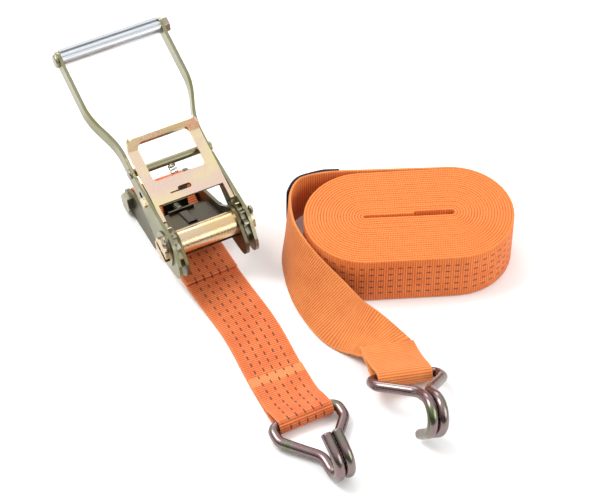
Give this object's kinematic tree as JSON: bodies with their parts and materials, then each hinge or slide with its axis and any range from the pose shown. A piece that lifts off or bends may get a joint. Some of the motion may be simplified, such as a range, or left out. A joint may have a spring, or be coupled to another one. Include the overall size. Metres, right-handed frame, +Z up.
{
  "type": "ratchet tie down",
  "caption": "Ratchet tie down: wide-handle ratchet buckle on a short sewn strap with a double claw hook, beside a rolled long strap ending in a matching hook.",
  "frame": {"origin": "middle of the footprint of the whole laid-out set, on the ground plane under it", "axes": "+Z up from the ground; +Y along the buckle from its ratchet spindle towards its strap bolt; X along the spindle, with the rolled strap on the +X side"},
  "size_m": [0.3138, 0.4734, 0.1226],
  "materials": {
    "frame_steel": "yellow passivated zinc",
    "handle_steel": "zinc plate with a pale yellow cast",
    "pawl_steel": "yellow passivated zinc",
    "slider_steel": "zinc plate with a pale yellow cast",
    "bright_steel": "bright zinc plate",
    "spindle_steel": "bright steel with a warm cast",
    "grip_aluminium": "drawn aluminium, lightly brushed",
    "hook_steel": "bright zinc plated wire",
    "orange_webbing": "woven polyester, ribbed",
    "navy_label": "blank dark label cloth"
  },
  "bodies": {
    "frame": {"frame_plate_left": "frame_steel", "frame_plate_right": "frame_steel", "frame_cross_plate": "frame_steel", "frame_pawl_spring": "bright_steel", "strap_bolt": "bright_steel", "strap_bolt_nut": "bright_steel", "bolt_sleeve": "bright_steel"},
    "handle": {"handle_plate_left": "handle_steel", "handle_plate_right": "handle_steel", "hand_grip": "grip_aluminium", "grip_bolt": "bright_steel", "grip_nut": "bright_steel", "handle_spacer": "handle_steel", "spacer_rivet": "bright_steel", "release_slider_spring": "bright_steel"},
    "spindle": {"spindle_half_upper": "spindle_steel", "spindle_half_lower": "spindle_steel", "ratchet_wheel_left": "bright_steel", "ratchet_wheel_right": "bright_steel", "spindle_washer_left": "bright_steel", "spindle_washer_right": "bright_steel", "split_pin_left": "bright_steel", "split_pin_right": "bright_steel"},
    "release_slider": {"release_slider": "slider_steel"},
    "frame_pawl": {"frame_pawl": "pawl_steel"},
    "fixed_strap": {"fixed_strap": "orange_webbing"},
    "fixed_hook": {"fixed_hook": "hook_steel"},
    "long_strap": {"strap_roll": "orange_webbing", "long_strap_tail": "orange_webbing", "strap_label": "navy_label"},
    "long_hook": {"long_hook": "hook_steel"}
  },
  "joints": [
    {"name": "handle_swing", "type": "hinge", "parent": "frame", "child": "handle", "pos_m": [-0.10218, 0.03282, 0.05], "axis": [1, 0, 0], "range_deg": [-30, 150]},
    {"name": "spindle_turn", "type": "hinge", "parent": "frame", "child": "spindle", "pos_m": [-0.10218, 0.03282, 0.05], "axis": [1, 0, 0], "continuous": true},
    {"name": "release_slide", "type": "slide", "parent": "handle", "child": "release_slider", "axis": [0, 0.9511, 0.309], "range_m": [0, 0.006], "stiffness_N_per_m": 900, "deforming": ["release_slider_spring"]},
    {"name": "frame_pawl_slide", "type": "slide", "parent": "frame", "child": "frame_pawl", "axis": [0, 0.9326, -0.3608], "range_m": [0, 0.006], "stiffness_N_per_m": 1200, "deforming": ["frame_pawl_spring"]},
    {"name": "fixed_strap_swing", "type": "hinge", "parent": "frame", "child": "fixed_strap", "pos_m": [-0.10218, 0.13182, 0.0117], "axis": [1, 0, 0], "range_deg": [0, 180]},
    {"name": "fixed_hook_swing", "type": "hinge", "parent": "fixed_strap", "child": "fixed_hook", "pos_m": [-0.10218, -0.15518, 0.008], "axis": [1, 0, 0], "range_deg": [-90, 90]},
    {"name": "long_strap_lift", "type": "slide", "parent": "frame", "child": "long_strap", "axis": [0, 0, 1], "range_m": [0, 0.03]},
    {"name": "long_hook_swing", "type": "hinge", "parent": "long_strap", "child": "long_hook", "pos_m": [-0.01018, -0.15868, 0.0125], "axis": [0.973, -0.147, -0.178], "range_deg": [-60, 60]}
  ]
}
